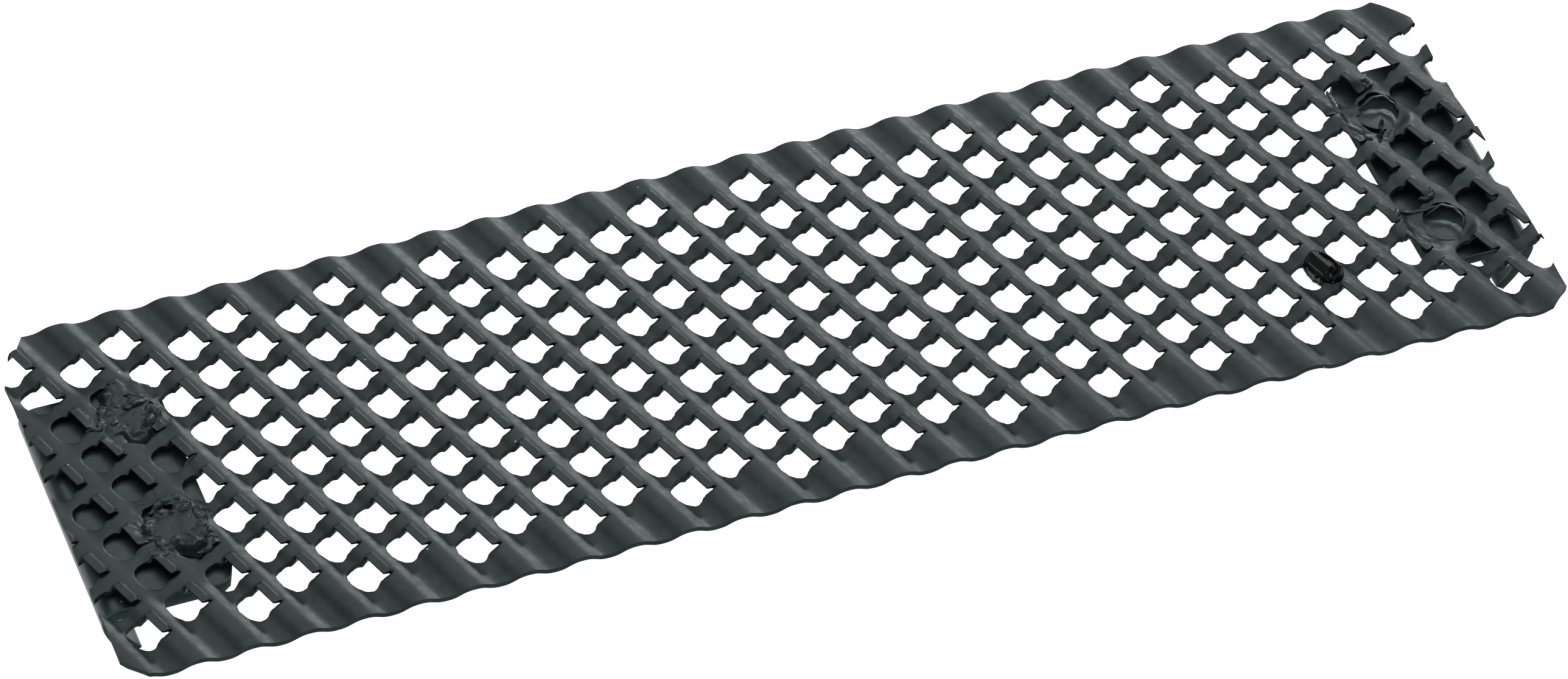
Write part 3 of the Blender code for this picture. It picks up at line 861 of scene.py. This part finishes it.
def run_under(x, y, _):
    """Underside of the run, level with or just below the underside of the sheet."""
    s = (np.array((x, y)) - RUN_CELL) @ ACROSS
    return sheet_level(x) + float(wave(s)) - 0.42 + 0.14 * float(ease((1.05 - s) / 0.35))


paint_run = height_patch("pooled_enamel", RUN_CENTRE, run_outline, run_top, run_under, 34, 120)
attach(paint_run, "root")
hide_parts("paint_run")


def gloss_enamel(name):
    """Thick air-dried enamel: near black and mirror-like, with ripples about 0.7 mm across."""
    material = bpy.data.materials.new(name)
    material.use_nodes = True
    tree = material.node_tree
    shader = tree.nodes["Principled BSDF"]
    place = add(tree, "ShaderNodeTexCoord").outputs["Object"]
    ripple = add(tree, "ShaderNodeTexNoise", {"Vector": place, "Scale": 1400.0, "Detail": 3.0,
                                              "Roughness": 0.6})
    tone = add(tree, "ShaderNodeValToRGB", {"Fac": ripple.outputs["Fac"]})
    tone.color_ramp.elements[0].color = linear("#060808")
    tone.color_ramp.elements[1].color = linear("#1a2020")
    sheen = add(tree, "ShaderNodeMapRange", {"Value": ripple.outputs["Fac"], "To Min": 0.05,
                                             "To Max": 0.16})
    bump = add(tree, "ShaderNodeBump", {"Strength": 0.7, "Distance": 0.00008,
                                        "Height": ripple.outputs["Fac"]})
    tree.links.new(tone.outputs["Color"], shader.inputs["Base Color"])
    tree.links.new(sheen.outputs["Result"], shader.inputs["Roughness"])
    tree.links.new(bump.outputs["Normal"], shader.inputs["Normal"])
    return material


paint_run.data.materials.append(gloss_enamel("black_gloss_enamel"))

# ---------------------------------------------------------------------------
# Studio: a white table that glows a little, so that it stays white under weak
# lights, a small low key light, a wide soft light overhead, and the camera.
# ---------------------------------------------------------------------------
floor_mesh = bpy.data.meshes.new("table")
TABLE = 1.5
corners = [(-TABLE, -TABLE, 0), (TABLE, -TABLE, 0), (TABLE, TABLE, 0), (-TABLE, TABLE, 0)]
floor_mesh.from_pydata(corners, [], [(0, 1, 2, 3)])
floor = bpy.data.objects.new("table", floor_mesh)
bpy.context.scene.collection.objects.link(floor)
paper = bpy.data.materials.new("white_paper")
paper.use_nodes = True
paper_shader = paper.node_tree.nodes["Principled BSDF"]
paper_shader.inputs["Base Color"].default_value = linear("#f4f4f4")
paper_shader.inputs["Roughness"].default_value = 0.9
paper_shader.inputs["Emission Color"].default_value = linear("#ffffff")
paper_shader.inputs["Emission Strength"].default_value = 0.95
floor_mesh.materials.append(paper)


def soft_light(name, direction, distance, size, power):
    """A rectangular area light at a distance in metres, turned towards the middle of the blade."""
    data = bpy.data.lights.new(name, "AREA")
    data.shape = "RECTANGLE"
    data.size = size[0]
    data.size_y = size[1]
    data.energy = power
    light = bpy.data.objects.new(name, data)
    towards = Vector(direction).normalized()
    light.location = towards * distance
    light.rotation_euler = towards.to_track_quat("Z", "Y").to_euler()
    bpy.context.scene.collection.objects.link(light)
    return light


def aim(azimuth, elevation):
    """Direction at an azimuth, from +Y towards +X, and an elevation, both in degrees."""
    a, e = math.radians(azimuth), math.radians(elevation)
    return (math.sin(a) * math.cos(e), math.cos(a) * math.cos(e), math.sin(e))


soft_light("window_key", aim(38.0, 15.5), 1.2, (0.12, 0.10), 4.3)
soft_light("overhead_fill", aim(10.0, 68.0), 1.0, (1.2, 0.9), 5.2)

world = bpy.data.worlds.new("studio")
bpy.context.scene.world = world
world.use_nodes = True
world.node_tree.nodes["Background"].inputs["Color"].default_value = (1, 1, 1, 1)
world.node_tree.nodes["Background"].inputs["Strength"].default_value = 0.18

camera_data = bpy.data.cameras.new("camera")
camera_data.sensor_width = 36.0
camera_data.lens = 158.54
camera = bpy.data.objects.new("camera", camera_data)
right = Vector((0.926796, -0.368140, 0.074310))
down = Vector((-0.236463, -0.725717, -0.646085))
forward = Vector((0.291777, 0.581217, -0.759640))
camera.matrix_world = Matrix.Translation(Vector((-0.184174, -0.365099, 0.482457))) @ Matrix(
    (right, -down, -forward)).transposed().to_4x4()
bpy.context.scene.collection.objects.link(camera)
bpy.context.scene.camera = camera
camera_data.clip_start = 0.01
bpy.context.scene.view_settings.view_transform = "Standard"
